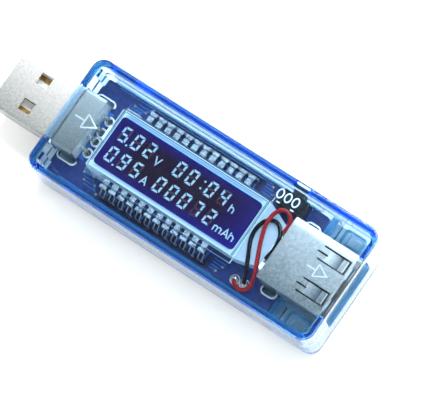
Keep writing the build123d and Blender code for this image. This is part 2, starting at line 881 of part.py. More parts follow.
capacitor_spots = [(along(15.0), 6.2), (along(20.6), 6.2), (along(34.0), -6.4), (along(37.6), -6.4)]
with BuildPart() as small_capacitors:
    with Locations(*[(x, y, board_bottom - 0.45) for x, y in capacitor_spots]):
        Box(2.0, 1.25, 0.85)
save(small_capacitors.part, "small_capacitors")


# ------------------------------------------------------------------ solder
def underside_joint(x, y, radius, leg_length, leg_width):
    """A solder cone under the board around one rectangular leg."""
    with BuildSketch(Plane.XY.offset(board_bottom)) as joint:
        with Locations((x, y)):
            Circle(radius)
            Rectangle(leg_length, leg_width, mode=Mode.SUBTRACT)
    extrude(joint.sketch, amount=-0.45)


with BuildPart() as lcd_solder_joints:
    for side in (-1, 1):
        for x in lcd_pin_xs:
            underside_joint(x, side * lcd_leg_y, 0.6, 0.5, 0.2)
save(lcd_solder_joints.part, "lcd_solder_joints")

with BuildPart() as usb_solder_joints:
    for pin_x in (plug_pin_x, socket_pin_x):
        for y in usb_contact_rows:
            underside_joint(pin_x, y, 1.0, 0.25, 1.0)
save(usb_solder_joints.part, "usb_solder_joints")

with BuildPart() as switch_solder_joints:
    for x, y in switch_leg_spots:
        underside_joint(x, y, 0.6, 0.5, 0.3)
save(switch_solder_joints.part, "switch_solder_joints")

with BuildPart() as wire_solder_joints:
    for x, y in (red_pad, black_pad):
        with Locations((x, y, board_top + pad_thickness)):
            Sphere(0.85, arc_size1=0, align=(Align.CENTER, Align.CENTER, Align.MIN))
save(wire_solder_joints.part, "wire_solder_joints")
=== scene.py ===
from math import cos, pi, radians, sin

import bmesh
import bpy
from mathutils import Matrix, Vector


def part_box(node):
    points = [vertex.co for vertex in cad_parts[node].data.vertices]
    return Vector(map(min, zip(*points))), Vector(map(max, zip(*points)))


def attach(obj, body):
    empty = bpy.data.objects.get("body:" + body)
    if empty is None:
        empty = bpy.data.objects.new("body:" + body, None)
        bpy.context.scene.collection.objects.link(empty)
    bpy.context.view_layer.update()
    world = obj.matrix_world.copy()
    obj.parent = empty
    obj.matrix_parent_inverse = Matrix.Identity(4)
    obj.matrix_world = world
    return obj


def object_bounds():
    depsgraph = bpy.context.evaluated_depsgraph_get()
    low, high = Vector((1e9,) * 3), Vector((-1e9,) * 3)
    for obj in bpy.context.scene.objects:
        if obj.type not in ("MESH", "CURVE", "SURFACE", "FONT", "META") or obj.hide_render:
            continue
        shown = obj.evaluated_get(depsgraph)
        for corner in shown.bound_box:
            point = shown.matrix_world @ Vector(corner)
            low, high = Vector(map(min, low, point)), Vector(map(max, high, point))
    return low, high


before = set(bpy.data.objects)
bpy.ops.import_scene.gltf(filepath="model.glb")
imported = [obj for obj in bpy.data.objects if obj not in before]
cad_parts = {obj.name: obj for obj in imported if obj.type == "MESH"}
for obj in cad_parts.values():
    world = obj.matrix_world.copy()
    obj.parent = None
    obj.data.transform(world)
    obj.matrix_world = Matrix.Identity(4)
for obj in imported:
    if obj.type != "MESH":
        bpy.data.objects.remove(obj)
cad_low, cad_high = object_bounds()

# A USB power meter in a clear blue case. Lengths are in metres; MM turns millimetres into metres.
# +X runs from the plug to the socket, +Y towards the reset button, +Z out of the display.
MM = 0.001
BODY = "meter"


def colour(red, green, blue):
    """A display colour, 0 to 255 a channel, as the linear colour that shaders take."""
    def linear(value):
        value /= 255
        return value / 12.92 if value <= 0.04045 else ((value + 0.055) / 1.055) ** 2.4
    return (linear(red), linear(green), linear(blue), 1.0)


# ------------------------------------------------------------------ camera
# The lens and the sensor are in millimetres, as Blender takes them.
CAMERA_AZIMUTH = radians(64.70)
CAMERA_ELEVATION = radians(71.44)
CAMERA_ROLL = radians(-30.91)
CAMERA_DISTANCE = 597.6 * MM
CAMERA_TARGET = Vector((7.515, 0.387, 5.747)) * MM
CAMERA_LENS = 280.0
CAMERA_SENSOR = 36.0
CAMERA_NEAR, CAMERA_FAR = 0.05, 20.0


def make_camera():
    """Looks down at the display from the socket end, turned about its own line of sight."""
    level, climb = cos(CAMERA_ELEVATION), sin(CAMERA_ELEVATION)
    aside, ahead = sin(CAMERA_AZIMUTH), cos(CAMERA_AZIMUTH)
    back = Vector((aside * level, -ahead * level, climb))
    right = Vector((ahead, aside, 0.0))
    right.rotate(Matrix.Rotation(CAMERA_ROLL, 3, back))
    up = back.cross(right)
    lens = bpy.data.cameras.new("camera")
    lens.lens = CAMERA_LENS
    lens.sensor_width = CAMERA_SENSOR
    lens.clip_start, lens.clip_end = CAMERA_NEAR, CAMERA_FAR
    camera = bpy.data.objects.new("camera", lens)
    turn = Matrix((right, up, back)).transposed().to_4x4()
    camera.matrix_world = Matrix.Translation(CAMERA_TARGET + back * CAMERA_DISTANCE) @ turn
    bpy.context.scene.collection.objects.link(camera)
    bpy.context.scene.camera = camera


make_camera()


# ------------------------------------------------------------------ shader helpers
class Nodes:
    """A node tree and short calls that add and join its nodes."""

    def __init__(self, tree):
        self.tree = tree

    def put(self, node, key, value):
        """Joins a socket to an input, or sets the input's own value."""
        if isinstance(value, bpy.types.NodeSocket):
            self.tree.links.new(value, node.inputs[key])
        else:
            node.inputs[key].default_value = value

    def add(self, kind, inputs, **settings):
        """A new node with these inputs and settings."""
        node = self.tree.nodes.new("ShaderNode" + kind)
        for key, value in settings.items():
            setattr(node, key, value)
        for key, value in inputs.items():
            self.put(node, key, value)
        return node

    def ramp(self, value, low, high, start=0.35, end=0.65, **settings):
        """A value's range from start to end, as a number from low to high."""
        limits = {"From Min": start, "From Max": end, "To Min": low, "To Max": high}
        return self.add("MapRange", {"Value": value, **limits}, **settings).outputs["Result"]

    def calc(self, operation, first, second=0.0):
        """Two numbers put together by one operation."""
        return self.add("Math", {0: first, 1: second}, operation=operation).outputs[0]


class Shader(Nodes):
    """A new material and the nodes that give its look."""

    def __init__(self, name):
        self.material = bpy.data.materials.new(name)
        self.material.use_nodes = True
        super().__init__(self.material.node_tree)
        self.tree.nodes.clear()
        self.output = self.tree.nodes.new("ShaderNodeOutputMaterial")

    def place(self, stretch=(1, 1, 1)):
        """Points of the object in its own frame, stretched along X, Y and Z."""
        coordinates = self.add("TexCoord", {})
        mapping = self.add("Mapping", {"Vector": coordinates.outputs["Object"], "Scale": stretch})
        return mapping.outputs["Vector"]

    def noise(self, size, detail=3.0, stretch=(1, 1, 1)):
        """Noise whose lumps are about this size, 0 to 1."""
        texture = self.add(
            "TexNoise", {"Vector": self.place(stretch), "Scale": 1 / size, "Detail": detail}
        )
        return texture.outputs["Fac"]

    def axis(self, name):
        """The X, Y or Z of a point in the object's own frame, in metres."""
        coordinates = self.add("TexCoord", {})
        parts = self.add("SeparateXYZ", {"Vector": coordinates.outputs["Object"]})
        return parts.outputs[name]

    def edge_nearness(self, low, high):
        """0 in the middle of a box seen from above, 1 at its edges."""
        middle, half = (low + high) / 2, (high - low) / 2
        reach = []
        for name, centre, length in (("X", middle.x, half.x), ("Y", middle.y, half.y)):
            offset = self.calc("SUBTRACT", self.axis(name), centre)
            reach.append(self.calc("DIVIDE", self.calc("ABSOLUTE", offset), length))
        return self.calc("MAXIMUM", *reach)

    def blend(self, factor, first, second):
        """A mix of two colours. The Mix node's factor is input 0 and its colours are 6 and 7."""
        return self.add("Mix", {0: factor, 6: first, 7: second}, data_type="RGBA").outputs[2]

    def bump(self, height, depth, strength):
        """A normal bent by a height from 0 to 1 that stands for this depth."""
        bent = self.add("Bump", {"Height": height, "Distance": depth, "Strength": strength})
        return bent.outputs["Normal"]

    def surface(self, **inputs):
        """The Principled shader, its inputs named with underscores for spaces."""
        named = {key.replace("_", " "): value for key, value in inputs.items()}
        shader = self.add("BsdfPrincipled", named)
        self.put(self.output, "Surface", shader.outputs["BSDF"])


# ------------------------------------------------------------------ materials
CASE_IOR = 1.5
CASE_TINT = (0.05, 0.62, 0.945, 1.0)
CASE_DENSITY = 205.0
PLASTIC_RELIEF = 0.01 * MM


def case_plastic():
    """Clear blue polycarbonate: faint over the roof, deep where a wall is seen along its height."""
    s = Shader("case_plastic")
    s.surface(
        Base_Color=(1, 1, 1, 1),
        Transmission_Weight=1.0,
        IOR=CASE_IOR,
        Roughness=0.02,
        Normal=s.bump(s.noise(3 * MM), PLASTIC_RELIEF, 0.3),
    )
    inside = s.add("VolumeAbsorption", {"Color": CASE_TINT, "Density": CASE_DENSITY})
    s.put(s.output, "Volume", inside.outputs["Volume"])
    return s.material


def lcd_glass():
    """Thin clear glass, very slightly wavy."""
    s = Shader("lcd_glass")
    s.surface(
        Base_Color=(1, 1, 1, 1),
        Transmission_Weight=1.0,
        IOR=1.45,
        Roughness=0.0,
        Normal=s.bump(s.noise(6 * MM), 0.004 * MM, 0.2),
    )
    return s.material


def metal(name, dark, light, roughness, grain, relief):
    """Bare metal with dull and bright patches and a fine relief, both of the grain's size."""
    s = Shader(name)
    pattern = s.noise(grain, 4.0)
    s.surface(
        Base_Color=s.blend(s.ramp(pattern, 0, 1), dark, light),
        Metallic=1.0,
        Roughness=s.ramp(pattern, roughness * 1.25, roughness * 0.8),
        Normal=s.bump(pattern, relief, 0.4),
    )
    return s.material


def plastic(name, dark, light, roughness, grain, gloss=0.5):
    """Moulded plastic, slightly uneven in colour and gloss."""
    s = Shader(name)
    pattern = s.noise(grain)
    s.surface(
        Base_Color=s.blend(s.ramp(pattern, 0, 1), dark, light),
        Roughness=s.ramp(pattern, roughness * 1.2, roughness * 0.85),
        Specular_IOR_Level=gloss,
        Normal=s.bump(pattern, PLASTIC_RELIEF, 0.4),
    )
    return s.material


# The socket shell's spring fingers, which get painted shade, measured from the socket's mouth and
# from its middle line.
FINGER_ROOT = 6.3 * MM
FINGER_TIP = 1.0 * MM
FINGER_FLAT = 1.2 * MM
FINGER_TURN = 1.1 * MM
FINGER_Y = 3.4 * MM
FINGER_HALF_WIDTH = 1.2 * MM
FINGER_PAINTED_SHADE = colour(64, 72, 82)


def painted_finger_shade(s, mouth):
    """1 where shade is painted on the part of each spring finger that dips away from the light, 0
    elsewhere.
    """
    root, tip = mouth - FINGER_ROOT, mouth - FINGER_TIP
    sinking = s.ramp(s.axis("X"), 0, 1, root + FINGER_FLAT, tip - FINGER_TURN)
    before_turn = s.calc("LESS_THAN", s.axis("X"), tip - FINGER_TURN)
    aside = s.calc("ABSOLUTE", s.calc("SUBTRACT", s.calc("ABSOLUTE", s.axis("Y")), FINGER_Y))
    inside = s.calc("LESS_THAN", aside, FINGER_HALF_WIDTH)
    return s.calc("MULTIPLY", s.calc("MULTIPLY", sinking, before_turn), inside)


# How far in from a shell's button-side edge its painted highlight band starts and is full.
PAINTED_HIGHLIGHT_START = 1.8 * MM
PAINTED_HIGHLIGHT_FULL = 0.5 * MM


def shell_steel(name, node, dull, bright, edge_shine, fingers=False):
    """Matt, mottled connector steel: painted shade on the far side, a painted highlight along the
    button-side edge.
    """
    s = Shader(name)
    low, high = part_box(node)
    # Painted light: the steel is paler towards the button side and darker on the far side.
    across = s.ramp(s.axis("Y"), 0, 1, low.y, high.y)
    mottle = s.noise(0.45 * MM, 4.0)
    speckle = s.noise(0.18 * MM, 2.0)
    # Painted highlight: a pale band along the button-side edge.
    edge = s.ramp(s.axis("Y"), 0, 1, high.y - PAINTED_HIGHLIGHT_START, high.y - PAINTED_HIGHLIGHT_FULL)
    mottle_and_painted_light = s.calc("ADD", s.calc("MULTIPLY", across, 0.75), s.ramp(mottle, -0.1, 0.12))
    mottle_and_painted_light = s.calc("ADD", mottle_and_painted_light, s.calc("MULTIPLY", edge, edge_shine))
    # Painted shade: both steel colours turn dark on the spring fingers.
    if fingers:
        shade = painted_finger_shade(s, high.x)
        dull = s.blend(shade, dull, FINGER_PAINTED_SHADE)
        bright = s.blend(shade, bright, FINGER_PAINTED_SHADE)
    matt_edge = s.calc("MULTIPLY", edge, edge_shine / 2)
    s.surface(
        Base_Color=s.blend(mottle_and_painted_light, dull, bright),
        Metallic=1.0,
        Roughness=s.calc("ADD", s.ramp(speckle, 0.42, 0.34), matt_edge),
        Normal=s.bump(mottle, 0.012 * MM, 0.4),
    )
    return s.material


# The painted shade on the board round the two rows of display pins: where its dark band begins and
# is full on each side of the middle line, and how far past the rows' ends it fades out.
PIN_BAND_START = 6.8 * MM
PIN_BAND_FULL = 8.0 * MM
PIN_BAND_FADE = 1.6 * MM


def painted_pin_row_shade(s):
    """1 where shade is painted on the board along the two rows of display pins, 0 away from them.
    """
    low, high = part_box("lcd_pins_far_side")
    row = s.ramp(s.calc("ABSOLUTE", s.axis("Y")), 0, 1, PIN_BAND_START, PIN_BAND_FULL)
    start = s.ramp(s.axis("X"), 0, 1, low.x - PIN_BAND_FADE, low.x)
    end = s.ramp(s.axis("X"), 1, 0, high.x, high.x + PIN_BAND_FADE)
    return s.calc("MULTIPLY", row, s.calc("MULTIPLY", start, end))


def board_mask():
    """Blue solder mask, with painted shade darkening it along the two rows of display pins."""
    s = Shader("board")
    pattern = s.noise(0.8 * MM)
    blue = s.blend(s.ramp(pattern, 0, 1), colour(8, 32, 90), colour(14, 50, 124))
    s.surface(
        # Painted shade darkens the mask along the pin rows.
        Base_Color=s.blend(painted_pin_row_shade(s), blue, colour(8, 22, 62)),
        Roughness=s.ramp(pattern, 0.46, 0.32),
        Normal=s.bump(pattern, PLASTIC_RELIEF, 0.4),
    )
    return s.material


def pad_tin():
    """Tinned rings: bright at the connectors, dulled by painted shade along the display's pins."""
    s = Shader("pad_tin")
    grain = s.noise(0.3 * MM)
    bright = s.blend(grain, colour(216, 222, 226), colour(250, 250, 250))
    s.surface(
        # Painted shade dulls the pads along the pin rows.
        Base_Color=s.blend(painted_pin_row_shade(s), bright, colour(54, 62, 86)),
        Metallic=1.0,
        Roughness=s.ramp(grain, 0.7, 0.5),
        Normal=s.bump(grain, 0.004 * MM, 0.4),
    )
    return s.material


# How far below the pins' top the painted shade on their legs ends and their light clips begin.
LEG_SHADE_TOP = 2.6 * MM
CLIP_LIGHT_BOTTOM = 1.2 * MM


def pin_tin():
    """Tin on the display's pins: light at the clips, dull with painted shade down the legs."""
    s = Shader("pin_tin")
    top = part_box("lcd_pins_far_side")[1].z
    # Painted shade: the tin turns dull and bluish down the legs, below the clips.
    height = s.ramp(s.axis("Z"), 0, 1, top - LEG_SHADE_TOP, top - CLIP_LIGHT_BOTTOM)
    grain = s.noise(0.22 * MM, 3.0, (0.3, 1, 1))
    light = s.blend(s.ramp(grain, 0, 1), colour(112, 128, 144), colour(204, 216, 226))
    s.surface(
        Base_Color=s.blend(height, colour(134, 142, 166), light),
        Metallic=1.0,
        Roughness=s.ramp(grain, 0.62, 0.42),
        Normal=s.bump(grain, 0.003 * MM, 0.3),
    )
    return s.material


# The connectors' tinned solder tails lie between the ends of their two shells.
plug_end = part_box("usb_plug_shell")[1].x
socket_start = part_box("usb_socket_shell")[0].x
PLUG_TAIL = (plug_end - 0.3 * MM, plug_end)
SOCKET_TAIL = (socket_start + 2.4 * MM, socket_start + 2.8 * MM)


def contact_metal():
    """USB contacts: gold along the blades and tinned at the solder tails."""
    s = Shader("contact_metal")
    pattern = s.noise(0.3 * MM)
    after_plug = s.ramp(s.axis("X"), 0, 1, *PLUG_TAIL)
    before_socket = s.ramp(s.axis("X"), 1, 0, *SOCKET_TAIL)
    gold = s.blend(pattern, colour(205, 165, 90), colour(232, 196, 120))
    tails = s.calc("MULTIPLY", after_plug, before_socket)
    s.surface(
        Base_Color=s.blend(tails, gold, colour(178, 186, 190)),
        Metallic=1.0,
        Roughness=s.ramp(pattern, 0.34, 0.2),
        Normal=s.bump(pattern, 0.006 * MM, 0.4),
    )
    return s.material


def glowing(name, dark, light, strength, grain, base=(0.6, 0.7, 0.8, 1.0)):
    """A surface that backlight comes out of, a little uneven."""
    s = Shader(name)
    pattern = s.noise(grain)
    s.surface(
        Base_Color=base,
        Roughness=s.ramp(pattern, 0.45, 0.3),
        Emission_Color=s.blend(s.ramp(pattern, 0, 1), dark, light),
        Emission_Strength=strength,
        Normal=s.bump(pattern, PLASTIC_RELIEF, 0.3),
    )
    return s.material


# Where the seal's pale outer edge begins and is full: 0 is the cell's middle, 1 its edge.
SEAL_EDGE = (0.87, 0.97)
# The same for the light that leaks in round the front film.
FILM_LEAK = (0.55, 1.0)
# How long the bright socket end of the rear film is.
REAR_FILM_BRIGHT_END = 4.0 * MM


def cell_seal():
    """The lit seal round the cell: deeper blue beside the window and pale at its outer edge."""
    s = Shader("cell_seal")
    low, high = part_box("lcd_cell_seal")
    outward = s.ramp(s.edge_nearness(low, high), 0, 1, *SEAL_EDGE)
    pattern = s.noise(0.5 * MM)
    inner = s.blend(pattern, colour(108, 142, 208), colour(126, 158, 220))
    outer = s.blend(pattern, colour(186, 228, 240), colour(206, 242, 244))
    s.surface(
        Base_Color=(0.25, 0.3, 0.36, 1.0),
        Roughness=s.ramp(pattern, 0.45, 0.3),
        Emission_Color=s.blend(outward, inner, outer),
        Emission_Strength=1.0,
        Normal=s.bump(pattern, PLASTIC_RELIEF, 0.3),
    )
    return s.material


def rear_film():
    """The backlit film behind the glass, palest towards the far side and the socket end."""
    s = Shader("rear_film")
    low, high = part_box("lcd_rear_film")
    far = s.ramp(s.axis("Y"), 1, 0, low.y, high.y)
    end = s.ramp(s.axis("X"), 0, 1, high.x - REAR_FILM_BRIGHT_END, high.x)
    glow = s.blend(s.calc("MAXIMUM", far, end), colour(132, 190, 238), colour(196, 236, 252))
    s.surface(
        Base_Color=colour(150, 190, 215),
        Roughness=s.ramp(s.noise(0.5 * MM), 0.5, 0.35),
        Emission_Color=s.blend(s.ramp(s.noise(1.5 * MM), 0, 0.25), glow, colour(225, 250, 255)),
        Emission_Strength=0.8,
    )
    return s.material


def front_film():
    """The dark polariser: near black, violet blue where light leaks in at its edges."""
    s = Shader("front_film")
    low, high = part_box("lcd_front_film")
    leak = s.ramp(s.edge_nearness(low, high), 0, 1, *FILM_LEAK)
    along = s.ramp(s.axis("X"), 0, 1, 0.0, high.x)
    across = s.ramp(s.axis("Y"), 1, 0, low.y, 0.0)
    corner = s.calc("MULTIPLY", along, across)
    blue = s.calc("ADD", s.calc("MULTIPLY", leak, 0.7), s.calc("MULTIPLY", corner, 0.5))
    mottle = s.noise(3 * MM)
    black = s.blend(mottle, colour(32, 24, 52), colour(42, 24, 48))
    s.surface(
        Base_Color=colour(10, 10, 18),
        Roughness=s.ramp(mottle, 0.22, 0.12),
        Emission_Color=s.blend(blue, black, colour(36, 32, 142)),
        Emission_Strength=1.0,
        Normal=s.bump(mottle, 0.004 * MM, 0.2),
    )
    return s.material


CASE = case_plastic()
CONTACTS = contact_metal()
# Both shells have painted light: shade on the far side and a highlight at the button-side edge.
PLUG_STEEL = shell_steel(
    "plug_steel", "usb_plug_shell", colour(140, 145, 146), colour(220, 222, 222), edge_shine=0.1
)
SOCKET_STEEL = shell_steel(
    "socket_steel", "usb_socket_shell", colour(132, 138, 142), colour(250, 250, 250),
    edge_shine=0.45, fingers=True,
)
PIN_TIN = pin_tin()
PAD = pad_tin()
GLASS = lcd_glass()
TIN = metal("tin", colour(148, 160, 168), colour(216, 224, 228), 0.26, 0.3 * MM, 0.008 * MM)
SOLDER = metal("solder", colour(150, 158, 164), colour(222, 226, 228), 0.2, 0.3 * MM, 0.02 * MM)
SWITCH_METAL = metal(
    "switch_metal", colour(34, 38, 44), colour(58, 64, 72), 0.5, 0.4 * MM, 0.01 * MM
)
BOARD = board_mask()
COPPER = plastic("masked_copper", colour(34, 84, 160), colour(60, 118, 192), 0.3, 0.5 * MM)
INSULATOR = plastic("insulator", colour(206, 210, 212), colour(232, 233, 232), 0.45, 1 * MM)
BLACK = plastic("black_plastic", colour(16, 17, 20), colour(32, 33, 37), 0.45, 0.4 * MM)
RED_SKIN = plastic(
    "red_insulation", colour(134, 8, 18), colour(174, 18, 28), 0.3, 0.5 * MM, gloss=0.3
)
BLACK_SKIN = plastic(
    "black_insulation", colour(5, 7, 14), colour(12, 15, 26), 0.3, 0.5 * MM, gloss=0.2
)
CERAMIC = plastic("ceramic", colour(150, 120, 90), colour(176, 150, 116), 0.5, 0.3 * MM)
FOAM = plastic("foam", colour(190, 192, 196), colour(214, 216, 220), 0.8, 0.2 * MM)
PRINT = plastic("print", colour(226, 232, 236), colour(246, 248, 250), 0.5, 0.2 * MM)
SEAL = glowing("seal", colour(142, 204, 240), colour(196, 236, 252), 0.75, 0.5 * MM)
CUT_LINE = plastic("cut_line", colour(16, 44, 92), colour(28, 66, 120), 0.4, 0.5 * MM)
GUIDE = glowing(
    "guide", colour(112, 150, 196), colour(150, 188, 226), 0.3, 3 * MM, (0.4, 0.48, 0.56, 1.0)
)
LED = glowing("led", colour(220, 240, 255), colour(255, 255, 255), 1.6, 1 * MM)
DIGIT = glowing(
    "digit", colour(146, 206, 250), colour(198, 234, 255), 1.0, 0.6 * MM, (0.02, 0.03, 0.04, 1.0)
)
GHOST = glowing(
    "unlit_segment", colour(58, 26, 52), colour(72, 34, 58), 0.8, 0.6 * MM, (0.01, 0.01, 0.02, 1.0)
)

MATERIALS = {
    "top_cover": CASE,
    "bottom_cover": CASE,
    "circuit_board": BOARD,
    "board_pads": PAD,
    "usb_plug_shell": PLUG_STEEL,
    "usb_plug_insulator": INSULATOR,
    "usb_plug_contacts": CONTACTS,
    "usb_socket_shell": SOCKET_STEEL,
    "usb_socket_insulator": BLACK,
    "usb_socket_contacts": CONTACTS,
    "lcd_lower_glass": GLASS,
    "lcd_upper_glass": GLASS,
    "lcd_rear_film": rear_film(),
    "lcd_front_film": front_film(),
    "lcd_cell_seal": cell_seal(),
    "lcd_end_seal": SEAL,
    "backlight_guide": GUIDE,
    "backlight_reflector": INSULATOR,
    "backlight_foam_pad": FOAM,
    "backlight_led": LED,
    "backlight_led_leads": TIN,
    "lcd_pins_button_side": PIN_TIN,
    "lcd_pins_far_side": PIN_TIN,
    "red_wire": RED_SKIN,
    "black_wire": BLACK_SKIN,
    "switch_housing": BLACK,
    "switch_frame": SWITCH_METAL,
    "switch_dome": SWITCH_METAL,
    "reset_button": BLACK,
    "switch_legs": TIN,
    "controller_chip": BLACK,
    "controller_leads": TIN,
    "memory_chip": BLACK,
    "memory_leads": TIN,
    "voltage_regulator": BLACK,
    "shunt_resistor": CERAMIC,
    "small_resistors": BLACK,
    "small_capacitors": CERAMIC,
    "lcd_solder_joints": SOLDER,
    "usb_solder_joints": SOLDER,
    "switch_solder_joints": SOLDER,
    "wire_solder_joints": SOLDER,
}


def dress_frame():
    """Gives every CAD node its material."""
    for name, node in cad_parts.items():
        node.data.materials.clear()
        node.data.materials.append(MATERIALS[name])


dress_frame()


# ------------------------------------------------------------------ building pieces
def piece(name, form, material):
    """A finished bmesh as a piece that rides on the meter's body."""
    mesh = bpy.data.meshes.new(name)
    bmesh.ops.recalc_face_normals(form, faces=form.faces)
    form.to_mesh(mesh)
    form.free()
    made = bpy.data.objects.new(name, mesh)
    bpy.context.scene.collection.objects.link(made)
    made.data.materials.append(material)
    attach(made, BODY)


def slab(form, outline, bottom, top):
    """A flat closed solid of this outline, added to form."""
    lower = [form.verts.new((x, y, bottom)) for x, y in outline]
    upper = [form.verts.new((x, y, top)) for x, y in outline]
    form.faces.new(lower[::-1])
    form.faces.new(upper)
    for i in range(len(outline)):
        j = (i + 1) % len(outline)
        form.faces.new((lower[i], lower[j], upper[j], upper[i]))


def strip(form, line, width, bottom, top):
    """A flat band of this width along a line of points, mitred where it turns."""
    points = [Vector(point) for point in line]
    left, right = [], []
    for i, point in enumerate(points):
        behind = points[i] - points[i - 1] if i else points[1] - points[0]
        ahead = points[i + 1] - points[i] if i + 1 < len(points) else behind
        behind, ahead = behind.normalized(), ahead.normalized()
        middle = (behind + ahead).normalized()
        side = Vector((-middle.y, middle.x)) * (width / 2 / max(0.35, middle.dot(ahead)))
        left.append(point + side)
        right.append(point - side)
    slab(form, right + left[::-1], bottom, top)


def disc(form, x, y, radius, bottom, top, sides=16):
    """A round flat dot."""
    turn = [i * 2 * pi / sides for i in range(sides)]
    slab(form, [(x + radius * cos(a), y + radius * sin(a)) for a in turn], bottom, top)


# ------------------------------------------------------------------ display
film_low, film_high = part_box("lcd_front_film")
INK = 0.03 * MM
FILM_MARKS = (film_high.z, film_high.z + INK)
DIGIT_WIDTH = 1.72 * MM
DIGIT_HEIGHT = 3.05 * MM
DIGIT_PITCH = 2.8 * MM
DIGIT_LEAN = 0.085
SEGMENT = 0.4 * MM
SEGMENT_GAP = 0.09 * MM
SEGMENTS = {
    "0": "abcdef",
    "2": "abdeg",
    "4": "bcfg",
    "5": "acdfg",
    "7": "abc",
    "9": "abcdfg",
}

# The numbers, each with the lower left corner of its first digit.
UPPER_ROW = 0.72 * MM
LOWER_ROW = -3.62 * MM
FIRST_DIGIT = film_low.x + 1.3 * MM
CLOCK_HOURS = film_low.x + 13.6 * MM
CLOCK_MINUTES = film_low.x + 20.6 * MM
CHARGE_DIGITS = film_low.x + 12.1 * MM
NUMBERS = (
    ("502", FIRST_DIGIT, UPPER_ROW),
    ("00", CLOCK_HOURS, UPPER_ROW),
    ("04", CLOCK_MINUTES, UPPER_ROW),
    ("095", FIRST_DIGIT, LOWER_ROW),
    ("00072", CHARGE_DIGITS, LOWER_ROW),
)

# The decimal points and the clock's colon, which leans like the digits.
DOT_RADIUS = 0.2 * MM
POINT_X = FIRST_DIGIT + DIGIT_PITCH - 0.5 * MM
COLON_X = CLOCK_MINUTES - 0.85 * MM
COLON_LOW = 0.7 * MM
COLON_HIGH = 2.2 * MM
COLON_LEAN = 0.12 * MM
DOTS = (
    (POINT_X, UPPER_ROW),
    (POINT_X, LOWER_ROW),
    (COLON_X, UPPER_ROW + COLON_LOW),
    (COLON_X + COLON_LEAN, UPPER_ROW + COLON_HIGH),
)

# The unit letters: strokes in a box one wide and one high, and the lower left corner of each.
STROKES = {
    "V": [[(0, 1), (0.5, 0), (1, 1)]],
    "A": [[(0, 0), (0.5, 1), (1, 0)], [(0.2, 0.34), (0.8, 0.34)]],
    "m": [
        [(0, 0), (0, 0.72)],
        [(0, 0.56), (0.22, 0.72), (0.46, 0.6), (0.46, 0)],
        [(0.46, 0.56), (0.7, 0.72), (0.96, 0.6), (0.96, 0)],
    ],
    "h": [[(0, 0), (0, 1)], [(0, 0.56), (0.5, 0.72), (1, 0.5), (1, 0)]],
}
LETTER_STROKE = 0.24 * MM
LETTER_HEIGHT = 1.5 * MM
LETTER_WIDTHS = {"V": 1.2 * MM, "A": 1.2 * MM, "m": 1.55 * MM, "h": 0.8 * MM}
NEAR_UNIT_DROP = 0.1 * MM
END_UNIT_DROP = 0.15 * MM
END_UNITS = film_low.x + 25.95 * MM
UNITS = (
    ("V", film_low.x + 9.65 * MM, UPPER_ROW - NEAR_UNIT_DROP),
    ("A", film_low.x + 9.6 * MM, LOWER_ROW - NEAR_UNIT_DROP),
    ("h", END_UNITS + 0.5 * MM, UPPER_ROW - END_UNIT_DROP),
    ("m", END_UNITS, LOWER_ROW - END_UNIT_DROP),
    ("A", END_UNITS + 1.9 * MM, LOWER_ROW - END_UNIT_DROP),
    ("h", END_UNITS + 3.4 * MM, LOWER_ROW - END_UNIT_DROP),
)

# The scribed lines on the glass: each one's inset from the button-side edge, its inset from the
# ends, and its width. They stop short of the far-side edge by CUT_PLUG_END and CUT_SOCKET_END.
CUT_INSETS = ((0.14 * MM, 0.12 * MM, 0.18 * MM), (0.5 * MM, 0.38 * MM, 0.13 * MM))
CUT_PLUG_END = 1.0 * MM
CUT_SOCKET_END = 0.1 * MM
CUT_BOTTOM = 0.002 * MM
CUT_TOP = 0.02 * MM


def segment_outlines():
    """The seven segments of one upright digit, each an outline with mitred ends."""
    w, h, t, g = DIGIT_WIDTH, DIGIT_HEIGHT, SEGMENT, SEGMENT_GAP
    half, m = t / 2, h / 2
    return {
        "a": [(g * 2, h), (w - g * 2, h), (w - t - g, h - t), (t + g, h - t)],
        "b": [
            (w, h - g * 2), (w, m + g), (w - half, m + g * 2),
            (w - t, m + half + g), (w - t, h - t - g),
        ],
        "c": [
            (w, m - g), (w, g * 2), (w - t, t + g),
            (w - t, m - half - g), (w - half, m - g * 2),
        ],
        "d": [(g * 2, 0), (t + g, t), (w - t - g, t), (w - g * 2, 0)],
        "e": [(0, g * 2), (0, m - g), (half, m - g * 2), (t, m - half - g), (t, t + g)],
        "f": [(0, m + g), (0, h - g * 2), (t, h - t - g), (t, m + half + g), (half, m + g * 2)],
        "g": [
            (half + g, m), (t + g, m + half), (w - t - g, m + half),
            (w - half - g, m), (w - t - g, m - half), (t + g, m - half),
        ],
    }


def digit(lit, unlit, mark, x, y):
    """One seven-segment digit with its lower left corner at x, y."""
    for name, outline in segment_outlines().items():
        leaned = [(x + px + DIGIT_LEAN * py, y + py) for px, py in outline]
        slab(lit if name in SEGMENTS[mark] else unlit, leaned, *FILM_MARKS)


def letter(form, mark, x, y):
    """One unit letter with its lower left corner at x, y."""
    for stroke in STROKES[mark]:
        line = [(x + px * LETTER_WIDTHS[mark], y + py * LETTER_HEIGHT) for px, py in stroke]
        strip(form, line, LETTER_STROKE, *FILM_MARKS)


def cut_lines():
    """Dark scribed lines on the glass round three sides of the front film."""
    form = bmesh.new()
    low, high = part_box("lcd_upper_glass")
    for inset, end_inset, width in CUT_INSETS:
        left, right, top = low.x + end_inset, high.x - end_inset, high.y - inset
        starts, ends = (left, low.y + CUT_PLUG_END), (right, low.y + CUT_SOCKET_END)
        line = [starts, (left, top), (right, top), ends]
        strip(form, line, width, high.z + CUT_BOTTOM, high.z + CUT_TOP)
    piece("lcd_cut_lines", form, CUT_LINE)


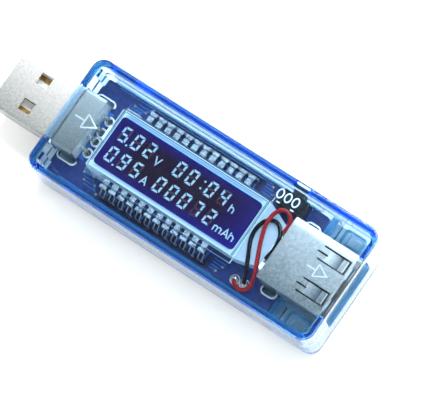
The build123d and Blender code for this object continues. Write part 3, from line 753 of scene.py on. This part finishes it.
def display_marks():
    """The lit and unlit marks on the front film: two rows of digits, points and units."""
    lit, unlit = bmesh.new(), bmesh.new()
    for text, x, y in NUMBERS:
        for i, mark in enumerate(text):
            digit(lit, unlit, mark, x + i * DIGIT_PITCH, y)
    for x, y in DOTS:
        disc(lit, x, y, DOT_RADIUS, *FILM_MARKS)
    for mark, x, y in UNITS:
        letter(lit, mark, x, y)
    piece("lcd_lit_marks", lit, DIGIT)
    piece("lcd_unlit_marks", unlit, GHOST)


cut_lines()
display_marks()


# ------------------------------------------------------------------ marks on the board
board_low, board_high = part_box("circuit_board")
pins_low, pins_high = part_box("lcd_pins_button_side")
glass_low, glass_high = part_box("lcd_lower_glass")
TRACK = 0.22 * MM
TRACK_TOP = board_high.z + 0.035 * MM
TRACK_LEVEL = (board_high.z - 0.02 * MM, TRACK_TOP)
VIA_LEVEL = (board_high.z - 0.02 * MM, TRACK_TOP + 0.01 * MM)
VIA_RADIUS = 0.26 * MM

# The copper area behind the plug, from its shell's end, with a notch round each solder pin.
POUR_ENDS = (plug_end - 0.35 * MM, plug_end + 1.05 * MM)
POUR_HALF_WIDTH = 5.1 * MM
NOTCH_DEPTH = 0.75 * MM
NOTCH_HALF_WIDTH = 0.72 * MM
USB_ROWS = [y * MM for y in (-3.5, -1.0, 1.0, 3.5)]

# The track along each long edge of the board.
EDGE_INSET = 0.35 * MM
EDGE_START = board_low.x + 3 * MM
EDGE_END = pins_high.x + 2 * MM

# A short track from each display pin, bent in under the glass.
PIN_PITCH = 2.0 * MM
PIN_COUNT = 12
PIN_FIRST = (pins_low.x + pins_high.x - PIN_PITCH * (PIN_COUNT - 1)) / 2
LEG_Y = 9.0 * MM
PIN_TRACK_BEND = Vector((0.5, -1.0)) * MM

# The tracks that fan out beside the display's plug end: the first one's start, the step to the
# next one's, its straight run and how much longer the next one is, and the bend at its end.
FAN_COUNT = 5
FAN_START = glass_low.x - 1.6 * MM
FAN_IN_FROM_GLASS = 0.9 * MM
FAN_STEP = Vector((0.35, 0.62)) * MM
FAN_RUN = 1.5 * MM
FAN_RUN_STEP = 0.2 * MM
FAN_BEND = Vector((0.9, 0.5)) * MM

# The tracks beside the display's socket end, each shorter than the one before.
COMB_COUNT = 4
COMB_START = pins_high.x + 0.9 * MM
COMB_OUT_FROM_GLASS = 0.1 * MM
COMB_STEP = 0.6 * MM
COMB_RUN = 2.6 * MM
COMB_RUN_STEP = 0.4 * MM


def plug_pour(form):
    """The wide copper area behind the plug, notched round its four solder pins."""
    near, far = POUR_ENDS
    notch = far - NOTCH_DEPTH
    outline = [(near, -POUR_HALF_WIDTH), (near, POUR_HALF_WIDTH), (far, POUR_HALF_WIDTH)]
    for y in USB_ROWS[::-1]:
        above, below = y + NOTCH_HALF_WIDTH, y - NOTCH_HALF_WIDTH
        outline += [(far, above), (notch, above), (notch, below), (far, below)]
    slab(form, outline + [(far, -POUR_HALF_WIDTH)], *TRACK_LEVEL)


def track(form, side, *points):
    """A track through points whose Y counts outwards on one side of the board, 1 or -1."""
    strip(form, [(x, side * y) for x, y in points], TRACK, *TRACK_LEVEL)


def side_tracks(form, side, glass_edge):
    """The tracks on one side of the board. Gives the places of their vias."""
    spots = []
    edge = board_high.y - EDGE_INSET
    track(form, side, (EDGE_START, edge), (EDGE_END, edge))
    for i in range(PIN_COUNT):
        x = PIN_FIRST + i * PIN_PITCH
        bend = (x + PIN_TRACK_BEND.x, glass_edge + PIN_TRACK_BEND.y)
        track(form, side, (x, LEG_Y), (x, glass_edge), bend)
    for i in range(FAN_COUNT):
        start, y = FAN_START + i * FAN_STEP.x, glass_edge - FAN_IN_FROM_GLASS + i * FAN_STEP.y
        turn = start + FAN_RUN + i * FAN_RUN_STEP
        end = (turn + FAN_BEND.x, y + FAN_BEND.y)
        track(form, side, (start, y), (turn, y), end)
        spots.append((start, side * y) if i % 2 else (end[0], side * end[1]))
    for i in range(COMB_COUNT):
        y = glass_edge + COMB_OUT_FROM_GLASS + i * COMB_STEP
        end = COMB_START + COMB_RUN - i * COMB_RUN_STEP
        track(form, side, (COMB_START, y), (end, y))
        if i % 2:
            spots.append((end, side * y))
    return spots


def board_marks():
    """Tracks, copper areas and vias that show between the display and the case."""
    copper, vias = bmesh.new(), bmesh.new()
    plug_pour(copper)
    spots = side_tracks(copper, 1, glass_high.y) + side_tracks(copper, -1, -glass_low.y)
    for x, y in spots:
        disc(vias, x, y, VIA_RADIUS, *VIA_LEVEL)
    piece("board_tracks", copper, COPPER)
    piece("board_vias", vias, TIN)


board_marks()


# ------------------------------------------------------------------ white marks under the roof
cover_low, cover_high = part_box("top_cover")
switch_low, switch_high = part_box("switch_housing")
ROOF = 1.2 * MM
PRINT_TOP = cover_high.z - ROOF - 0.02 * MM
PRINT_LEVEL = (PRINT_TOP - INK, PRINT_TOP)
PRINT_STROKE = 0.27 * MM

# Each arrow's tail and length, and its neck and half width as parts of the length.
ARROWS = (
    (cover_low.x + 2.7 * MM, 0.4 * MM, 4.8 * MM),
    (socket_start + 6.6 * MM, 0.1 * MM, 4.2 * MM),
)
ARROW_NECK = 0.45
ARROW_HALF_WIDTH = 0.3

# Three noughts over the switch, a little towards the plug, and two dashes below them.
NOUGHT_WIDTH = 1.15 * MM
NOUGHT_HEIGHT = 1.75 * MM
NOUGHT_PITCH = NOUGHT_WIDTH * 1.45
NOUGHT_X = (switch_low.x + switch_high.x) / 2 - 0.45 * MM
NOUGHT_Y = switch_low.y + 0.75 * MM
NOUGHT_SIDES = 16
DASH_X = (switch_low.x + switch_high.x) / 2 - 0.1 * MM
DASH_Y = NOUGHT_Y - 0.7 * MM
DASH_REACH = 1.5 * MM
DASH_HALF_LENGTH = 0.35 * MM


def arrow(form, x, y, length):
    """A plain arrow along +X: a shaft and an open triangular head."""
    neck, half = x + length * ARROW_NECK, length * ARROW_HALF_WIDTH
    for line in (
        [(x, y), (neck, y)],
        [(neck, y - half), (neck, y + half)],
        [(neck, y + half), (x + length, y), (neck, y - half)],
    ):
        strip(form, line, PRINT_STROKE, *PRINT_LEVEL)


def nought(form, x, y):
    """An oval ring with its middle at x and its foot at y."""
    w, h = NOUGHT_WIDTH / 2, NOUGHT_HEIGHT / 2
    turn = [i * 2 * pi / NOUGHT_SIDES for i in range(NOUGHT_SIDES + 1)]
    strip(form, [(x + w * cos(a), y + h + h * sin(a)) for a in turn], PRINT_STROKE, *PRINT_LEVEL)


def roof_marks():
    """An arrow at each end and a row of noughts at the button."""
    form = bmesh.new()
    for x, y, length in ARROWS:
        arrow(form, x, y, length)
    for i in (-1, 0, 1):
        nought(form, NOUGHT_X + i * NOUGHT_PITCH, NOUGHT_Y)
    for i in (-1, 1):
        x = DASH_X + i * DASH_REACH
        dash = [(x - DASH_HALF_LENGTH, DASH_Y), (x + DASH_HALF_LENGTH, DASH_Y)]
        strip(form, dash, PRINT_STROKE, *PRINT_LEVEL)
    piece("roof_marks", form, PRINT)


roof_marks()


# ------------------------------------------------------------------ floor and light
FLOOR_REACH = 3.0
FLOOR_DROP = 0.01 * MM
KEY_PLACE = Vector((0.05, 0.35, 0.45))
KEY_SIZE = 0.35
KEY_POWER = 9.0
DARK_PATCH = Vector((-0.288, 0.136, 0.948))
DARK_PATCH_INNER = radians(6)
DARK_PATCH_OUTER = radians(22)
SKY_LIGHT = 1.75
SKY_LIGHT_HEIGHT = 0.75
SKY_HORIZON = 0.4
SKY_DARK = 0.04
SKY_SEEN = 0.95


def make_floor():
    """A wide plain floor just under the object."""
    form = bmesh.new()
    z = cad_low.z - FLOOR_DROP
    corners = [(-1, -1), (1, -1), (1, 1), (-1, 1)]
    form.faces.new([form.verts.new((x * FLOOR_REACH, y * FLOOR_REACH, z)) for x, y in corners])
    mesh = bpy.data.meshes.new("floor")
    form.to_mesh(mesh)
    form.free()
    floor = bpy.data.objects.new("floor", mesh)
    bpy.context.scene.collection.objects.link(floor)
    s = Shader("floor")
    pattern = s.noise(40 * MM)
    s.surface(
        Base_Color=s.blend(s.ramp(pattern, 0, 1), colour(240, 240, 238), colour(244, 244, 243)),
        Roughness=0.6,
    )
    floor.data.materials.append(s.material)


def make_key_light():
    """A square soft box behind the button side, facing the object."""
    light = bpy.data.lights.new("key", "AREA")
    light.shape = "SQUARE"
    light.size = KEY_SIZE
    light.energy = KEY_POWER
    lamp = bpy.data.objects.new("key", light)
    lamp.location = KEY_PLACE
    lamp.rotation_euler = (-KEY_PLACE).to_track_quat("-Z", "Y").to_euler()
    bpy.context.scene.collection.objects.link(lamp)


def make_world():
    """White light from all round, stronger overhead, with a dark patch that the roof mirrors.

    The camera itself sees an even, slightly grey background.
    """
    world = bpy.data.worlds.new("studio")
    bpy.context.scene.world = world
    world.use_nodes = True
    nodes = Nodes(world.node_tree)
    direction = nodes.add("TexCoord", {}).outputs["Generated"]
    height = nodes.add("SeparateXYZ", {"Vector": direction}).outputs["Z"]
    sky = nodes.ramp(height, SKY_HORIZON, SKY_LIGHT, 0.0, SKY_LIGHT_HEIGHT)
    toward = nodes.add("VectorMath", {0: direction, 1: DARK_PATCH}, operation="DOT_PRODUCT")
    patch = nodes.ramp(
        toward.outputs["Value"], 1.0, SKY_DARK, cos(DARK_PATCH_OUTER), cos(DARK_PATCH_INNER),
        interpolation_type="SMOOTHSTEP",
    )
    to_camera = nodes.add("LightPath", {}).outputs["Is Camera Ray"]
    strength = nodes.add(
        "Mix", {"Factor": to_camera, "A": nodes.calc("MULTIPLY", sky, patch), "B": SKY_SEEN}
    )
    background = world.node_tree.nodes["Background"]
    nodes.put(background, "Color", (1, 1, 1, 1))
    nodes.put(background, "Strength", strength.outputs["Result"])


make_floor()
make_key_light()
make_world()
bpy.context.scene.view_settings.view_transform = "Standard"
# Light crosses the case's walls, the glasses and the roof many times before it gets out.
light_paths = bpy.context.scene.cycles
light_paths.max_bounces = 32
light_paths.glossy_bounces = 24
light_paths.transmission_bounces = 32
